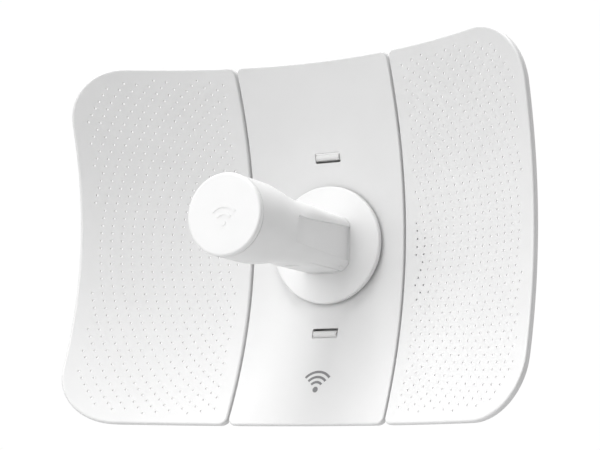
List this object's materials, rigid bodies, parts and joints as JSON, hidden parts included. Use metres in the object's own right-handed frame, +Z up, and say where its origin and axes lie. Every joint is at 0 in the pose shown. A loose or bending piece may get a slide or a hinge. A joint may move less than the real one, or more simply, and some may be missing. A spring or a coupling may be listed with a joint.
{
  "type": "outdoor wireless bridge",
  "caption": "Outdoor wireless bridge: a pressed metal dish in snap-together panels, a central feed horn with a port hatch, and a three-axis pole mount.",
  "frame": {"origin": "on the pole's axis, midway up the pole clamp and level with the dish axis", "axes": "+Z up along the pole, the dish looks along -Y, +X to the right seen from the front"},
  "size_m": [0.366, 0.3122, 0.268],
  "materials": {
    "panel_white": "semi-matte white powder coat",
    "feed_white": "fine satin white moulding",
    "bracket_white": "satin white moulding",
    "latch_grey": "satin grey moulding",
    "cast_grey": "light grey powder coat on a casting",
    "bright_steel": "stainless steel",
    "band_steel": "stainless steel strip",
    "ground_brass": "plated brass",
    "rubber_black": "matte rubber",
    "vial_clear": "clear acrylic",
    "level_fluid": "yellow-green level fluid",
    "marking_black": "black moulding",
    "board_green": "solder-resist green",
    "shield_tin": "bare sheet metal",
    "post_white": "natural nylon"
  },
  "bodies": {
    "pole_clamp": {"pole_saddle": "cast_grey", "swivel_bolt": "bright_steel", "swivel_nut": "bright_steel", "swivel_washers": "bright_steel", "pole_bands": "band_steel", "band_housings": "band_steel"},
    "worm_upper": {"worm_screw_upper": "band_steel"},
    "worm_lower": {"worm_screw_lower": "band_steel"},
    "swivel": {"swivel_block": "cast_grey", "clamp_bolt": "bright_steel", "clamp_nut": "bright_steel", "clamp_washers": "bright_steel"},
    "tilt": {"tilt_head": "cast_grey", "tilt_bolt": "bright_steel", "tilt_nut": "bright_steel", "tilt_washers": "bright_steel"},
    "dish": {"centre_panel": "panel_white", "left_wing": "panel_white", "right_wing": "panel_white", "rear_hub": "bracket_white", "level_vial": "vial_clear", "level_liquid": "level_fluid", "level_rings": "marking_black", "ground_screw": "ground_brass", "ground_washer": "ground_brass", "roll_screws": "bright_steel", "cable_grommet": "rubber_black", "feed_shell": "feed_white", "feed_cap": "feed_white", "cap_seal": "rubber_black", "collar_disc": "feed_white", "main_board": "board_green", "shield_can": "shield_tin", "ethernet_jack": "marking_black", "jack_contacts": "ground_brass", "reset_switch": "marking_black", "status_light": "vial_clear", "antenna_board": "board_green", "radiator_patches": "shield_tin", "patch_posts": "post_white", "splash_plate": "shield_tin"},
    "cover": {"port_cover": "feed_white", "cover_pin": "bright_steel"},
    "reset": {"reset_button": "latch_grey"},
    "latch": {"feed_latch": "latch_grey"}
  },
  "joints": [
    {"name": "azimuth_swivel", "type": "hinge", "parent": "pole_clamp", "child": "swivel", "pos_m": [0, -0.049, 0], "axis": [0, 0, 1], "range_deg": [-25, 25]},
    {"name": "elevation_tilt", "type": "hinge", "parent": "swivel", "child": "tilt", "pos_m": [0, -0.077, 0], "axis": [1, 0, 0], "range_deg": [-20, 20]},
    {"name": "dish_roll", "type": "hinge", "parent": "tilt", "child": "dish", "pos_m": [0, -0.098, 0], "axis": [0, 1, 0], "range_deg": [-15, 15]},
    {"name": "worm_upper_turn", "type": "hinge", "parent": "pole_clamp", "child": "worm_upper", "pos_m": [0, 0.03015, 0.017], "axis": [1, 0, 0], "continuous": true},
    {"name": "worm_lower_turn", "type": "hinge", "parent": "pole_clamp", "child": "worm_lower", "pos_m": [0, 0.03015, -0.017], "axis": [1, 0, 0], "continuous": true},
    {"name": "port_cover_hinge", "type": "hinge", "parent": "dish", "child": "cover", "pos_m": [0, -0.1375, -0.0175], "axis": [1, 0, 0], "range_deg": [0, 75]},
    {"name": "reset_press", "type": "slide", "parent": "dish", "child": "reset", "axis": [0, 0, 1], "range_m": [0, 0.0012], "stiffness_N_per_m": 600, "springref_m": -0.0005},
    {"name": "latch_pull", "type": "slide", "parent": "dish", "child": "latch", "axis": [1, 0, 0], "range_m": [0, 0.003], "stiffness_N_per_m": 400, "springref_m": -0.0008}
  ]
}
